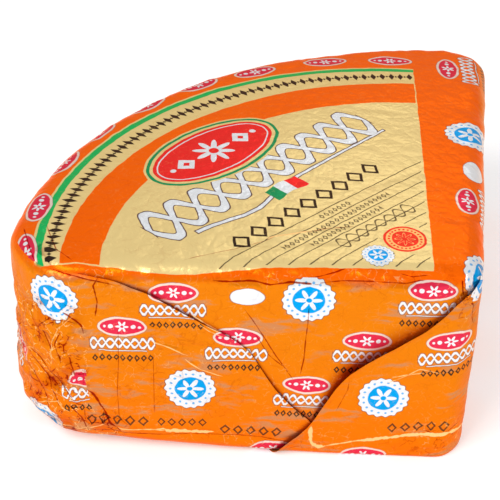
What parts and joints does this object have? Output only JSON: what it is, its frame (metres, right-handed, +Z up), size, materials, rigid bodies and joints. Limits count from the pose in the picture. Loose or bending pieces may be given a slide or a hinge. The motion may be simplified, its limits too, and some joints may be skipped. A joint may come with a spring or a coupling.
{
  "type": "foil-wrapped wedge of gorgonzola cheese",
  "caption": "Quarter-round wedge of blue cheese, shut in printed orange foil with flaps folded over its flat cut sides; it lies on its flat base.",
  "frame": {"origin": "middle of the pack's box, on the surface that the pack lies on", "axes": "+Z up; the front cut side faces -Y; the wheel's middle is at the front right (+X, -Y), and the round rim wall is left and behind"},
  "size_m": [0.1674, 0.164, 0.0753],
  "materials": {
    "printed_foil": "satin printed aluminium foil, orange with pale bands and small red and blue ornaments, creased at its folds"
  },
  "bodies": {
    "root": {"wrapped_wedge": "printed_foil"}
  },
  "joints": []
}
